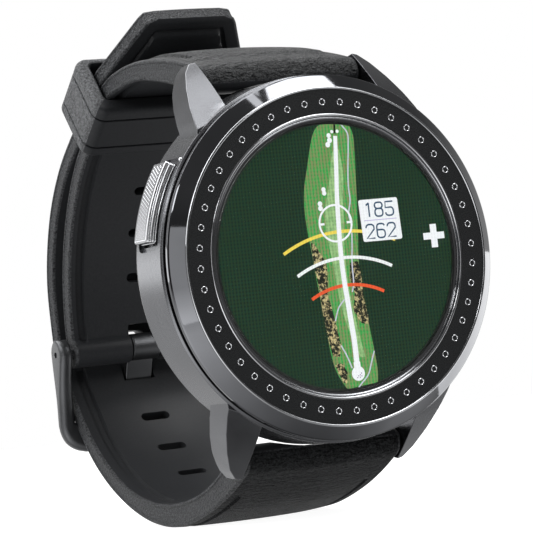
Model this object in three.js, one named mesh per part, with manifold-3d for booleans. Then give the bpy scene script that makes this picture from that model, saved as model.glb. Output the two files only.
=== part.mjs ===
// Golf GPS watch, buckled: round case with four lugs, 48-pip bezel, one side button, two-piece rubber strap,
// sliding keeper and tang buckle. Millimetres. Every piece is drawn in the dial frame: x to 3 o'clock,
// y to 12 o'clock, z out of the dial with z = 0 on the bezel insert's face. The group at the end turns this
// into the part's frame: X to 3 o'clock, -Y out of the dial, +Z to 12 o'clock, origin on the case back.
import * as THREE from "three";
import { mergeVertices } from "three/addons/utils/BufferGeometryUtils.js";
import Module from "manifold-3d";

const wasm = await Module();
wasm.setup();

// ---------------------------------------------------------------- driving sizes
const RING_STEPS = 72;
const BACK_Z = -12.4; // the flat case back

const CASE_R = 22.55;
const CASE_TOP = -2.8;
const CASE_FOOT = -11.6;
const CAVITY_R = 20.3;

const BEZEL_R = 22.35;
const BEZEL_FOOT = -2.2;
const INSERT_R = 20.4;
const INSERT_INNER_R = 17.45;
const INSERT_THICK = 0.8;
const PIP_COUNT = 48;
const PIP_CIRCLE_R = 18.8;
const PIP_R = 0.42;
const RIM_R = 17.35;
const RIM_INNER_R = 16.4;
const GLASS_R = 16.3;

const LUG_INNER_X = 11.05;
const LUG_FACET_SUM = 15.4; // y + z on the facet at the lug's inner face
const LUG_FACET_LEAN = 0.26;
const BAR_Y = 23.5;
const BAR_Z = -11.0;
const BAR_R = 0.75;

const STRAP_HALF = 10.9;
const STRAP_T = 2.3;
const SLOT_W = 4.5;
const SLOT_H = 1.4;

const BUTTON_ANGLE = 157.7;
const BUTTON_HALF_ANGLE = 12.6;
const BUTTON_Z = -6.4;
const BUTTON_HEIGHT = 3.8;
const BUTTON_OUTER_R = 23.6;
const BUTTON_INNER_R = 22.3;
const BUTTON_FLOOR_R = 21.75;

const PIN = [-7.8, -58.9]; // buckle pin's axis, as y and z
const PIN_R = 0.8;
const EAR_INNER_X = 11.35;
const EAR_OUTER_X = 13.15;
const CROSSBAR = [-20.0, -60.3];
const CROSSBAR_R = 1.25;

const KEEPER_POINT = [22.55, -42.75]; // strap centre line under the keeper
const KEEPER_TURN = 38; // degrees from z towards y: the strap's run towards the lug there
const LOOP_CENTRE = [-5.7, -27.0];
const LOOP_R = 32.0;

// ---------------------------------------------------------------- materials
const paint = (color, roughness, metalness) => ({ color, roughness, metalness });
const GUNMETAL = paint(0x55575a, 0.38, 1.0);
const DARK_METAL = paint(0x2b2c2e, 0.42, 0.9);
const POLISHED = paint(0xb9bbbe, 0.15, 1.0);
const STEEL = paint(0x8f9296, 0.3, 1.0);
const BLACK_SATIN = paint(0x17181a, 0.45, 0.1);
const RUBBER = paint(0x1c1d1f, 0.8, 0.0);
const SEAL = paint(0x101011, 0.9, 0.0);
const SCREEN = paint(0x123a24, 0.3, 0.0);
const CLEAR = paint(0x0d1412, 0.05, 0.0);
const BOARD = paint(0x1d5134, 0.6, 0.0);
const CERAMIC = paint(0xcdbfa4, 0.6, 0.0);
const FOIL = paint(0xa9abb0, 0.4, 0.8);
const GOLD = paint(0xc9a14a, 0.25, 1.0);
const COPPER_FILM = paint(0xb5652b, 0.5, 0.2);

// ---------------------------------------------------------------- solids
function solid(geometry) {
  const flat = geometry.index ? geometry.toNonIndexed() : geometry;
  const bare = new THREE.BufferGeometry().setAttribute("position", flat.getAttribute("position"));
  const merged = mergeVertices(bare, 1e-4);
  const made = (triVerts) =>
    new wasm.Manifold(
      new wasm.Mesh({ numProp: 3, vertProperties: merged.attributes.position.array, triVerts }),
    );
  const order = new Uint32Array(merged.index.array);
  const first = made(order);
  if (first.volume() > 0) return first;
  for (let i = 0; i < order.length; i += 3) [order[i], order[i + 1]] = [order[i + 1], order[i]];
  return made(order);
}

const radians = (degrees) => (degrees * Math.PI) / 180;
const shapeOf = (points) => new THREE.Shape(points.map(([a, b]) => new THREE.Vector2(a, b)));
const flatExtrude = (points, depth) =>
  new THREE.ExtrudeGeometry(shapeOf(points), { depth, bevelEnabled: false });

// Turned about the dial's axis from a profile of [radius, z], closed here unless it ends on the axis.
function turned(profile, steps = RING_STEPS) {
  const closed = profile[0][0] === 0 ? profile : [...profile, profile[0]];
  const points = closed.map(([r, z]) => new THREE.Vector2(r, z));
  return solid(new THREE.LatheGeometry(points, steps).rotateX(Math.PI / 2));
}

const disc = (radius, zLow, zHigh, steps) =>
  turned(
    [
      [0, zLow],
      [radius, zLow],
      [radius, zHigh],
      [0, zHigh],
    ],
    steps,
  );

// Outline of [x, y], pushed from zLow to zHigh.
const facing = (points, zLow, zHigh) => solid(flatExtrude(points, zHigh - zLow).translate(0, 0, zLow));

// Outline of [y, z], pushed from xLow to xHigh.
function sideways(points, xLow, xHigh) {
  const turn = new THREE.Matrix4().set(0, 0, 1, xLow, 1, 0, 0, 0, 0, 1, 0, 0, 0, 0, 0, 1);
  return solid(flatExtrude(points, xHigh - xLow).applyMatrix4(turn));
}

const block = ([x, y, z], [w, h, d]) => solid(new THREE.BoxGeometry(w, h, d).translate(x, y, z));

function rod(from, to, radius, steps = 20) {
  const a = new THREE.Vector3(...from);
  const b = new THREE.Vector3(...to);
  const along = b.clone().sub(a);
  const turn = new THREE.Quaternion().setFromUnitVectors(new THREE.Vector3(0, 1, 0), along.clone().normalize());
  const middle = a.clone().add(b).multiplyScalar(0.5);
  return solid(
    new THREE.CylinderGeometry(radius, radius, along.length(), steps)
      .applyQuaternion(turn)
      .translate(middle.x, middle.y, middle.z),
  );
}

const xRod = ([y, z], half, radius, steps) => rod([-half, y, z], [half, y, z], radius, steps);

const onCircle = (radius, degrees) => [
  radius * Math.cos(radians(degrees)),
  radius * Math.sin(radians(degrees)),
];

// Points of an arc about a centre, in degrees, both ends included.
function arc([a, b], radius, from, to, steps) {
  return Array.from({ length: steps + 1 }, (_, i) => {
    const [da, db] = onCircle(radius, from + ((to - from) * i) / steps);
    return [a + da, b + db];
  });
}

const sector = (inner, outer, middle, half, steps = 12) => [
  ...arc([0, 0], outer, middle - half, middle + half, steps),
  ...arc([0, 0], inner, middle + half, middle - half, steps),
];

function roundedBox(halfW, halfH, radius, [x, y] = [0, 0]) {
  return [
    ...arc([x + halfW - radius, y + halfH - radius], radius, 0, 90, 4),
    ...arc([x - halfW + radius, y + halfH - radius], radius, 90, 180, 4),
    ...arc([x - halfW + radius, y - halfH + radius], radius, 180, 270, 4),
    ...arc([x + halfW - radius, y - halfH + radius], radius, 270, 360, 4),
  ];
}

// ---------------------------------------------------------------- case
function lug(side, end) {
  const plan = [
    [LUG_INNER_X, 14],
    [17.2, 13],
    [15.9, 15.9],
    [15.4, 17.8],
    [14.8, 19.9],
    [13.9, 22.3],
    [12.9, 24.4],
    [11.9, 25.6],
    [LUG_INNER_X, 25.75],
  ].map(([x, y]) => [x * side, y * end]);
  const profile = [
    [13, -3.2],
    [18.6, -3.2],
    [25.75, -9.6],
    [25.75, -10.6],
    [25.4, -12.9],
    [23.6, -12.6],
    [21.6, -11.6],
    [17.0, -8.3],
    [13, -6.0],
  ].map(([y, z]) => [y * end, z]);
  const xs = side > 0 ? [10, 18] : [-18, -10];
  const length = Math.hypot(LUG_FACET_LEAN, 1, 1);
  const reach = LUG_FACET_SUM + LUG_FACET_LEAN * LUG_INNER_X;
  return facing(plan, -14, -2)
    .intersect(sideways(profile, ...xs))
    .trimByPlane([(-LUG_FACET_LEAN * side) / length, -end / length, -1 / length], -reach / length)
    .subtract(rod([side * 10.5, end * BAR_Y, BAR_Z], [side * 12.9, end * BAR_Y, BAR_Z], 0.62, 12));
}

const buttonAxis = (radius) => [...onCircle(radius, BUTTON_ANGLE), BUTTON_Z];

function buttonPocket() {
  const half = BUTTON_HEIGHT / 2;
  const step = facing(sector(22.1, 25, BUTTON_ANGLE, 15.1), BUTTON_Z - half - 0.75, BUTTON_Z + half + 0.75);
  const well = facing(
    sector(BUTTON_FLOOR_R, 25, BUTTON_ANGLE, 13.5),
    BUTTON_Z - half - 0.3,
    BUTTON_Z + half + 0.3,
  );
  return step
    .add(well)
    .add(rod(buttonAxis(19), buttonAxis(22.5), 1.05, 16))
    .add(rod(buttonAxis(21.2), buttonAxis(22.5), 1.8, 16));
}

const screwSpots = [45, 135, 225, 315].map((angle) => onCircle(16.4, angle));

function caseBody() {
  let body = turned([
    [19.6, -2.45],
    [21.6, -2.45],
    [21.6, CASE_TOP],
    [CASE_R - 0.2, CASE_TOP],
    [CASE_R, CASE_TOP - 0.2],
    [CASE_R, -9.6],
    [22.2, -10.5],
    [20.9, CASE_FOOT],
    [19.8, CASE_FOOT],
    [19.8, -10.6],
    [15.0, -10.6],
    [15.0, -9.7],
    [CAVITY_R, -9.7],
    [CAVITY_R, -3.9],
    [19.6, -3.9],
  ]);
  for (const side of [-1, 1]) {
    for (const end of [-1, 1]) {
      const cavity = disc(CAVITY_R + 0.4, -13, -2);
      body = body.add(lug(side, end).subtract(cavity));
    }
  }
  body = body.subtract(buttonPocket());
  for (const [x, y] of screwSpots) body = body.subtract(rod([x, y, -11], [x, y, -9], 0.7, 12));
  return body;
}

const bezelRing = () =>
  turned([
    [16.45, -1.0],
    [18.2, -1.0],
    [18.2, -1.35],
    [19.4, -1.35],
    [19.4, -1.0],
    [20.5, -1.0],
    [20.5, 0.0],
    [22.25, -1.4],
    [BEZEL_R, -1.6],
    [BEZEL_R, BEZEL_FOOT],
    [16.45, BEZEL_FOOT],
  ]);

const pipSpots = Array.from({ length: PIP_COUNT }, (_, i) => onCircle(PIP_CIRCLE_R, (360 * i) / PIP_COUNT));

function bezelInsert() {
  const ring = turned([
    [INSERT_INNER_R, -INSERT_THICK],
    [INSERT_R, -INSERT_THICK],
    [INSERT_R, 0],
    [INSERT_INNER_R, 0],
  ]);
  const drills = pipSpots.map(([x, y]) => rod([x, y, -1], [x, y, 0.2], PIP_R + 0.08, 8));
  return ring.subtract(wasm.Manifold.union(drills));
}

function pipRing() {
  const ring = turned([
    [18.3, -1.25],
    [19.3, -1.25],
    [19.3, -0.9],
    [18.3, -0.9],
  ]);
  const pip = turned(
    [
      [0, -1.1],
      [PIP_R, -1.1],
      [PIP_R, -0.06],
      [PIP_R * 0.7, 0.1],
      [0, 0.16],
    ],
    8,
  );
  return wasm.Manifold.union([ring, ...pipSpots.map(([x, y]) => pip.translate(x, y, 0))]);
}

const innerRim = () =>
  turned([
    [RIM_INNER_R, -0.9],
    [RIM_R, -0.9],
    [RIM_R, 0.0],
    [17.1, 0.05],
    [16.8, -0.14],
    [RIM_INNER_R, -0.2],
  ]);

const bezelGasket = () =>
  turned([
    [17.2, -2.62],
    [18.8, -2.62],
    [18.8, -2.38],
    [17.2, -2.38],
  ]);

const displayFrame = () =>
  turned([
    [0, -3.5],
    [19.2, -3.5],
    [19.2, -2.72],
    [16.7, -2.72],
    [16.7, -2.35],
    [0, -2.35],
  ]);

function backCover() {
  const plate = turned([
    [0, BACK_Z],
    [17.9, BACK_Z],
    [19.0, -12.0],
    [19.65, -11.4],
    [19.65, -10.75],
    [0, -10.75],
  ]);
  const groove = turned([
    [18.0, -11.2],
    [18.9, -11.2],
    [18.9, -10.5],
    [18.0, -10.5],
  ]);
  let cover = plate.subtract(groove);
  for (const [x, y] of screwSpots) {
    cover = cover.subtract(rod([x, y, -13], [x, y, -11.65], 1.25, 16)).subtract(rod([x, y, -13], [x, y, -10], 0.7, 12));
  }
  for (const x of contactXs) cover = cover.subtract(rod([x, CONTACT_Y, -13], [x, CONTACT_Y, -10], 1.0, 16));
  return cover;
}

const backGasket = () =>
  turned([
    [18.1, -11.1],
    [18.8, -11.1],
    [18.8, -10.68],
    [18.1, -10.68],
  ]);

const CONTACT_Y = -9;
const contactXs = [-4.5, -1.5, 1.5, 4.5];

function screw([x, y]) {
  const head = rod([x, y, -12.3], [x, y, -11.7], 1.12, 16);
  const shank = rod([x, y, -11.8], [x, y, -9.8], 0.58, 12);
  const cross = block([x, y, -12.3], [1.5, 0.35, 0.5]).add(block([x, y, -12.3], [0.35, 1.5, 0.5]));
  return head.add(shank).subtract(cross);
}

const contact = (x) => rod([x, CONTACT_Y, -12.35], [x, CONTACT_Y, -10.4], 0.9, 16);

// ---------------------------------------------------------------- inside the case
function mainBoard() {
  let board = disc(18.5, -4.5, -3.75, 48);
  board = board.subtract(facing(sector(16.8, 20, BUTTON_ANGLE, 8), -5, -3));
  board = board.add(block([-8.5, -1, -4.8], [7, 6, 0.8]));
  board = board.add(block([-7, 9, -4.75], [3.4, 3.4, 0.7]));
  board = board.add(block([6.5, 0.5, -4.7], [5, 2.4, 0.6]));
  return board;
}

const battery = () => facing(roundedBox(11.5, 8.4, 2, [1.5, -6.2]), -9.5, -5.4);
const antenna = () => facing(roundedBox(5.4, 5.2, 0.4, [0.5, 10]), -6.9, -4.65);
const motor = () => rod([12, 9, -7.6], [12, 9, -4.8], 3.9, 24);

function flexCable() {
  const bend = [
    [-17.9, -3.62],
    [-19.0, -3.62],
    [-19.5, -4.1],
    [-19.5, -4.9],
    [-18.8, -5.3],
    [-16.0, -5.3],
    [-16.0, -5.15],
    [-18.7, -5.15],
    [-19.3, -4.8],
    [-19.3, -4.2],
    [-18.9, -3.77],
    [-17.9, -3.72],
  ];
  return sideways(bend, -3, 3);
}

// ---------------------------------------------------------------- button
function button() {
  const half = BUTTON_HEIGHT / 2;
  const head = facing(
    sector(BUTTON_INNER_R, BUTTON_OUTER_R, BUTTON_ANGLE, BUTTON_HALF_ANGLE),
    BUTTON_Z - half,
    BUTTON_Z + half,
  );
  const stem = rod(buttonAxis(19.2), buttonAxis(22.6), 0.9, 16);
  const groove = rod(buttonAxis(19.72), buttonAxis(20.22), 1.4, 16).subtract(
    rod(buttonAxis(19.5), buttonAxis(20.4), 0.6, 16),
  );
  return head.add(stem).subtract(groove);
}

const buttonClip = () =>
  rod(buttonAxis(19.8), buttonAxis(20.15), 1.7, 20).subtract(rod(buttonAxis(19), buttonAxis(21), 0.68, 16));

const buttonSeal = () =>
  rod(buttonAxis(21.26), buttonAxis(21.66), 1.7, 20).subtract(rod(buttonAxis(21), buttonAxis(22), 0.98, 16));

function buttonSwitch() {
  const [x, y] = onCircle(17.6, BUTTON_ANGLE);
  const can = solid(
    new THREE.BoxGeometry(1.3, 3.4, 2.6).rotateZ(radians(BUTTON_ANGLE)).translate(x, y, BUTTON_Z),
  );
  return can.add(rod(buttonAxis(18), buttonAxis(18.6), 0.7, 12));
}

// ---------------------------------------------------------------- strap
// A band's side outline from centre-line stations of [y, z, thickness].
function bandOutline(stations, steps) {
  const line = new THREE.CatmullRomCurve3(
    stations.map(([y, z, t]) => new THREE.Vector3(y, z, t)),
    false,
    "centripetal",
  );
  const points = line.getSpacedPoints(steps);
  const left = [];
  const right = [];
  points.forEach((p, i) => {
    const before = points[Math.max(i - 1, 0)];
    const after = points[Math.min(i + 1, steps)];
    const run = new THREE.Vector2(after.x - before.x, after.y - before.y).normalize();
    left.push([p.x - (run.y * p.z) / 2, p.y + (run.x * p.z) / 2]);
    right.push([p.x + (run.y * p.z) / 2, p.y - (run.x * p.z) / 2]);
  });
  return [...left, ...right.reverse()];
}

const keeperRun = [Math.sin(radians(KEEPER_TURN)), Math.cos(radians(KEEPER_TURN))]; // towards the lug
const keeperOut = [Math.cos(radians(KEEPER_TURN)), -Math.sin(radians(KEEPER_TURN))];
const keeperPoint = (along, out) => [
  KEEPER_POINT[0] + along * keeperRun[0] + out * keeperOut[0],
  KEEPER_POINT[1] + along * keeperRun[1] + out * keeperOut[1],
];

function upperStations() {
  const loop = [-44, -50, -56, -62, -68, -74, -80, -87].map((angle) => {
    const [dy, dz] = onCircle(LOOP_R, angle);
    return [LOOP_CENTRE[0] + dy, LOOP_CENTRE[1] + dz, STRAP_T];
  });
  return [
    [BAR_Y, BAR_Z, 3.7],
    [24.6, -14.6, 3.4],
    [25.7, -19.0, 3.1],
    [26.6, -24.0, 2.8],
    [27.1, -29.0, 2.5],
    [26.8, -34.0, 2.5],
    [...keeperPoint(5.2, 0), 2.4],
    [...keeperPoint(0, 0), 2.4],
    [...keeperPoint(-5.2, 0), STRAP_T],
    ...loop,
    [...PIN, STRAP_T],
  ];
}

function lowerStations() {
  return [
    [-BAR_Y, BAR_Z, 3.7],
    [-25.6, -14.8, 3.0],
    [-27.4, -19.0, 2.8],
    [-28.9, -23.6, 2.9],
    [-29.8, -28.0, 3.0],
    [-30.2, -33.0, 3.0],
    [-29.9, -37.5, 2.8],
    [-29.0, -41.8, 2.6],
    [-27.5, -46.0, 2.4],
    [-25.3, -50.2, 2.4],
    [-22.6, -53.9, 2.4],
    [-19.6, -56.9, STRAP_T],
    [-16.2, -59.5, STRAP_T],
    [-12.6, -61.9, STRAP_T],
    [-8.0, -63.4, STRAP_T],
    [-3.0, -63.75, STRAP_T],
    [2.2, -63.5, STRAP_T],
    [7.4, -61.9, STRAP_T],
    [12.3, -59.2, STRAP_T],
    [16.8, -55.2, STRAP_T],
    [20.0, -51.0, STRAP_T],
    [...keeperPoint(-4.4, 2.75), STRAP_T],
    [...keeperPoint(0, 2.75), STRAP_T],
    [...keeperPoint(4.6, 2.75), STRAP_T],
    ...[3.0, 9.6].map((reach) => [
      keeperPoint(5.4, 2.8)[0] + reach * Math.sin(radians(43)),
      keeperPoint(5.4, 2.8)[1] + reach * Math.cos(radians(43)),
      STRAP_T,
    ]),
  ];
}

// A stadium-shaped slot through the strap at one spot, square to its run.
function slotCut([y, z], run, width, height) {
  const outline = [
    ...arc([width / 2 - height / 2, 0], height / 2, -90, 90, 6),
    ...arc([-width / 2 + height / 2, 0], height / 2, 90, 270, 6),
  ];
  return solid(
    flatExtrude(outline, 8)
      .translate(0, 0, -4)
      .rotateX(Math.atan2(run[1], run[0]))
      .translate(0, y, z),
  );
}

const lugEnd = (end) => xRod([end * BAR_Y, BAR_Z], STRAP_HALF, 1.85, 24);
const lugEndCuts = (end) =>
  xRod([end * BAR_Y, BAR_Z], 14, BAR_R + 0.12, 16).add(disc(CASE_R + 0.35, -14, 0));

function upperStrap() {
  const band = sideways(bandOutline(upperStations(), 64), -STRAP_HALF, STRAP_HALF);
  const barrel = xRod(PIN, STRAP_HALF, 2.05, 24);
  let strap = band.add(lugEnd(1)).add(barrel).subtract(lugEndCuts(1));
  strap = strap.subtract(xRod(PIN, 14, PIN_R + 0.12, 16));
  for (const angle of [-52, -64, -76]) {
    const [dy, dz] = onCircle(LOOP_R, angle);
    const run = onCircle(1, angle + 90);
    strap = strap.subtract(slotCut([LOOP_CENTRE[0] + dy, LOOP_CENTRE[1] + dz], run, SLOT_W, SLOT_H));
  }
  return strap.subtract(block([0, PIN[0], PIN[1] - 0.5], [4.7, 6.4, 7]));
}

const strapSlots = [
  [-18.35, -58.0, 40],
  [-22.85, -53.6, 53],
  [-26.55, -47.9, 65],
];

function tailTaper() {
  const [y, z] = keeperPoint(5.4, 2.8);
  const outline = [
    [-12, -2],
    [12, -2],
    [10.9, -0.6],
    [6.5, 8.6],
    [4.3, 9.6],
    [-4.3, 9.6],
    [-6.5, 8.6],
    [-10.9, -0.6],
  ];
  const wide = [
    [-14, -1.9],
    [14, -1.9],
    [14, 14],
    [-14, 14],
  ];
  const cutter = facing(wide, -4, 4).subtract(facing(outline, -5, 5));
  const place = new THREE.Matrix4()
    .makeTranslation(0, y, z)
    .multiply(new THREE.Matrix4().makeRotationX(radians(47)));
  return cutter.transform(place.elements);
}

function lowerStrap() {
  let strap = sideways(bandOutline(lowerStations(), 110), -STRAP_HALF, STRAP_HALF);
  strap = strap.add(lugEnd(-1)).subtract(lugEndCuts(-1));
  for (const [y, z, turn] of strapSlots) {
    strap = strap.subtract(slotCut([y, z], onCircle(1, 180 - turn), SLOT_W, SLOT_H));
  }
  const prongSlot = sideways(bandOutline(prongStations(1.75), 12), -2.35, 2.35);
  return strap.subtract(prongSlot).subtract(tailTaper());
}

const springBar = (end) =>
  xRod([end * BAR_Y, BAR_Z], 10.8, BAR_R, 16).add(xRod([end * BAR_Y, BAR_Z], 12.4, 0.5, 12));

// ---------------------------------------------------------------- keeper and buckle
function keeper() {
  const across = (half, low, high) => [
    [-half, low],
    [half, low],
    [half, high],
    [-half, high],
  ];
  const outer = roundedBox(13.1, 5.05, 1.1, [0, 1.35]);
  const opening = across(11.25, -1.45, 5.3);
  const loop = facing(outer, -3.2, 5.4).subtract(facing(opening, -6, 8));
  const place = new THREE.Matrix4().set(
    1, 0, 0, 0,
    0, keeperOut[0], keeperRun[0], KEEPER_POINT[0],
    0, keeperOut[1], keeperRun[1], KEEPER_POINT[1],
    0, 0, 0, 1,
  );
  return loop.transform(place.elements);
}

function buckleFrame() {
  const [py, pz] = PIN;
  const [cy, cz] = CROSSBAR;
  const side = [
    ...arc([py, pz], 2.1, -60, 150, 12),
    [-11.2, -57.8],
    [-14.0, -58.8],
    [-17.2, -59.2],
    ...arc([cy, cz], CROSSBAR_R, 60, 290, 12),
    [-17.0, -61.3],
    [-13.0, -61.2],
  ];
  const plate = facing(roundedBox(EAR_OUTER_X, 9.1, 3.4, [0, -12.45]), -70, -50);
  const window = facing(roundedBox(EAR_INNER_X, 12.05, 1.6, [0, -7.0]), -75, -45);
  return sideways(side, -14, 14)
    .intersect(plate)
    .subtract(window)
    .subtract(xRod(PIN, 14, PIN_R + 0.1, 16));
}

const bucklePin = () => xRod(PIN, EAR_OUTER_X - 0.25, PIN_R, 16);

const prongStations = (thickness) => [
  [-8.9, -60.3, thickness],
  [-12.6, -61.7, thickness],
  [-16.4, -62.5, thickness],
  [-19.4, -62.4, thickness],
  [-21.4, -61.9, thickness],
];

function buckleProng() {
  const strip = sideways(bandOutline(prongStations(1.05), 14), -2.0, 2.0);
  const ring = xRod(PIN, 2.05, 1.85, 24);
  return strip.add(ring).subtract(xRod(PIN, 4, PIN_R + 0.1, 16));
}

// ---------------------------------------------------------------- assembly
function mesh(name, made, look) {
  const { numProp, vertProperties, triVerts } = made.getMesh();
  const geometry = new THREE.BufferGeometry();
  const positions = new Float32Array((vertProperties.length / numProp) * 3);
  for (let i = 0; i < positions.length / 3; i++) {
    positions.set(vertProperties.subarray(i * numProp, i * numProp + 3), i * 3);
  }
  geometry.setAttribute("position", new THREE.BufferAttribute(positions, 3));
  geometry.setIndex(new THREE.BufferAttribute(triVerts, 1));
  const made3d = new THREE.Mesh(geometry, new THREE.MeshStandardMaterial(look));
  made3d.name = name;
  return made3d;
}

const group = new THREE.Group();
group.rotation.x = Math.PI / 2;
group.position.y = BACK_Z;
group.add(
  mesh("case_body", caseBody(), GUNMETAL),
  mesh("bezel_ring", bezelRing(), GUNMETAL),
  mesh("bezel_insert", bezelInsert(), BLACK_SATIN),
  mesh("pip_ring", pipRing(), POLISHED),
  mesh("inner_rim", innerRim(), POLISHED),
  mesh("glass", disc(GLASS_R, -1.35, -0.22), CLEAR),
  mesh("display_panel", disc(16.1, -2.2, -1.45), SCREEN),
  mesh("bezel_gasket", bezelGasket(), SEAL),
  mesh("display_frame", displayFrame(), DARK_METAL),
  mesh("main_board", mainBoard(), BOARD),
  mesh("gps_antenna", antenna(), CERAMIC),
  mesh("battery", battery(), FOIL),
  mesh("vibration_motor", motor(), STEEL),
  mesh("flex_cable", flexCable(), COPPER_FILM),
  mesh("back_cover", backCover(), DARK_METAL),
  mesh("back_gasket", backGasket(), SEAL),
  ...screwSpots.map((spot, i) => mesh(`back_screw_${i + 1}`, screw(spot), STEEL)),
  ...contactXs.map((x, i) => mesh(`charge_contact_${i + 1}`, contact(x), GOLD)),
  mesh("button", button(), POLISHED),
  mesh("button_clip", buttonClip(), STEEL),
  mesh("button_seal", buttonSeal(), SEAL),
  mesh("button_switch", buttonSwitch(), STEEL),
  mesh("spring_bar_upper", springBar(1), STEEL),
  mesh("spring_bar_lower", springBar(-1), STEEL),
  mesh("upper_strap", upperStrap(), RUBBER),
  mesh("lower_strap", lowerStrap(), RUBBER),
  mesh("keeper", keeper(), RUBBER),
  mesh("buckle_frame", buckleFrame(), DARK_METAL),
  mesh("buckle_prong", buckleProng(), DARK_METAL),
  mesh("buckle_pin", bucklePin(), STEEL),
);

export default group;
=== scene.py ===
from math import cos, hypot, pi, radians, sin, tan

import bmesh
import bpy
import numpy as np
from mathutils import Matrix, Vector


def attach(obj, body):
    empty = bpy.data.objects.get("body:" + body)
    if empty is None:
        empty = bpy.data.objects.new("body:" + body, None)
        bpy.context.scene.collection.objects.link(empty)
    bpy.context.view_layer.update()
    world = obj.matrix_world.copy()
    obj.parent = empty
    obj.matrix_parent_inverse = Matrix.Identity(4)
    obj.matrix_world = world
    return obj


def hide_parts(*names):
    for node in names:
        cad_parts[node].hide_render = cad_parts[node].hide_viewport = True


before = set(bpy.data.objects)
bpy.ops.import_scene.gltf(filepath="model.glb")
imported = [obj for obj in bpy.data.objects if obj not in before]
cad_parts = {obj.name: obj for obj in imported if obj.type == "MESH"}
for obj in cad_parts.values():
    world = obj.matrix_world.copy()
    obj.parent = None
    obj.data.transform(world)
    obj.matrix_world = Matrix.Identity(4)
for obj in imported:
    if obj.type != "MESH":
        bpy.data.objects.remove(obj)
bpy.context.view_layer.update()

scene = bpy.context.scene

# The watch is drawn in the dial frame, in millimetres: x to 3 o'clock, y to 12 o'clock, z out of the dial,
# with z = 0 on the bezel insert's face. part() turns such points into the part's frame in metres.
MM = 0.001
BACK_DEPTH = 12.4

CASE_R = 22.55
BEZEL_R = 22.35
PIP_CIRCLE_R = 18.8
PIP_COUNT = 48
SCREEN_R = 16.2
BAR = (23.5, -11.0)
PIN = (-7.8, -58.9)
STRAP_HALF = 10.9
STRAP_T = 2.3
LOOP_CENTRE = (-5.7, -27.0)
LOOP_R = 32.0
KEEPER_POINT = (22.55, -42.75)
KEEPER_TURN = radians(38)
BUTTON_ANGLE = radians(157.7)
BUTTON_Z = -6.4
BUTTON_EASE = 0.3
WRIST_CENTRE = np.array([-2.0, -33.0])
ROUND_STEPS = 288
LUG_ROUND_R = 1.85
PIN_TUBE_R = 2.05


def part(points):
    p = np.asarray(points, float).reshape(-1, 3)
    return np.stack([p[:, 0], -p[:, 2] - BACK_DEPTH, p[:, 1]], 1) * MM


# ---- outlines
def rounded(points, radius, steps=4):
    """The outline with each corner eased by a short curve."""
    eased = []
    count = len(points)
    for i in range(count):
        p = np.array(points[i], float)
        a = np.array(points[i - 1], float) - p
        b = np.array(points[(i + 1) % count], float) - p
        la, lb = np.linalg.norm(a), np.linalg.norm(b)
        half = np.arccos(np.clip(a @ b / (la * lb), -1, 1)) / 2
        if half > radians(84):
            eased.append(tuple(p))
            continue
        trim = min(radius / tan(half), 0.45 * la, 0.45 * lb)
        start, end = p + a / la * trim, p + b / lb * trim
        for t in np.linspace(0, 1, steps + 1):
            eased.append(tuple((1 - t) ** 2 * start + 2 * t * (1 - t) * p + t * t * end))
    return eased


def arc(centre, radius, first, last, steps):
    turns = np.radians(np.linspace(first, last, steps + 1))
    return [(centre[0] + radius * cos(t), centre[1] + radius * sin(t)) for t in turns]


def smooth_path(stations, spacing):
    """A centripetal Catmull-Rom curve through the stations, as evenly spaced points."""
    p = np.array(stations, float)
    p = np.vstack([2 * p[0] - p[1], p, 2 * p[-1] - p[-2]])
    dense = []
    for i in range(1, len(p) - 2):
        d0, d1, d2 = (max(np.linalg.norm(p[k + 1] - p[k]), 1e-6) ** 0.5 for k in (i - 1, i, i + 1))
        m1 = (p[i] - p[i - 1]) / d0 - (p[i + 1] - p[i - 1]) / (d0 + d1) + (p[i + 1] - p[i]) / d1
        m2 = (p[i + 1] - p[i]) / d1 - (p[i + 2] - p[i]) / (d1 + d2) + (p[i + 2] - p[i + 1]) / d2
        m1, m2 = m1 * d1, m2 * d1
        for t in np.linspace(0, 1, 40, endpoint=False):
            t2, t3 = t * t, t * t * t
            dense.append(
                (2 * t3 - 3 * t2 + 1) * p[i] + (t3 - 2 * t2 + t) * m1
                + (3 * t2 - 2 * t3) * p[i + 1] + (t3 - t2) * m2
            )
    dense = np.array([*dense, p[-2]])
    run = np.r_[0, np.cumsum(np.hypot(*np.diff(dense[:, :2], axis=0).T))]
    marks = np.linspace(0, run[-1], max(2, int(run[-1] / spacing)))
    return np.stack([np.interp(marks, run, dense[:, k]) for k in range(dense.shape[1])], 1), marks


def headings(points):
    """The unit direction along the path at each of its points."""
    run = np.gradient(points, axis=0)
    return run / np.linalg.norm(run, axis=1)[:, None]


# ---- meshes
def loft(rings, closed=False):
    """Points and faces of a skin over rings of points; its ends are capped unless it closes on itself."""
    rings = np.asarray(rings, float)
    n, m = rings.shape[:2]
    faces = []
    for i in range(n if closed else n - 1):
        k = (i + 1) % n
        for j in range(m):
            q = (j + 1) % m
            faces.append((i * m + j, i * m + q, k * m + q, k * m + j))
    if not closed:
        faces.append(tuple(range(m))[::-1])
        faces.append(tuple(range((n - 1) * m, n * m)))
    return rings.reshape(-1, 3), faces


def lathe(profile, steps=256, spot=(0, 0)):
    """A closed outline of (radius, z) turned about an axis along the dial's."""
    turns = np.linspace(0, 2 * pi, steps, endpoint=False)
    rings = [[(spot[0] + r * cos(t), spot[1] + r * sin(t), z) for r, z in profile] for t in turns]
    return loft(rings, closed=True)


def pin_lathe(profile, steps):
    """A closed outline of (radius, x) turned about the buckle pin."""
    turns = np.linspace(0, 2 * pi, steps, endpoint=False)
    rings = [[(x, PIN[0] + r * cos(t), PIN[1] + r * sin(t)) for r, x in profile] for t in turns]
    return loft(rings, closed=True)


def facing(outline, low, high):
    """An outline of (x, y) pushed along z."""
    return loft([[(x, y, z) for x, y in outline] for z in (low, high)])


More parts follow.
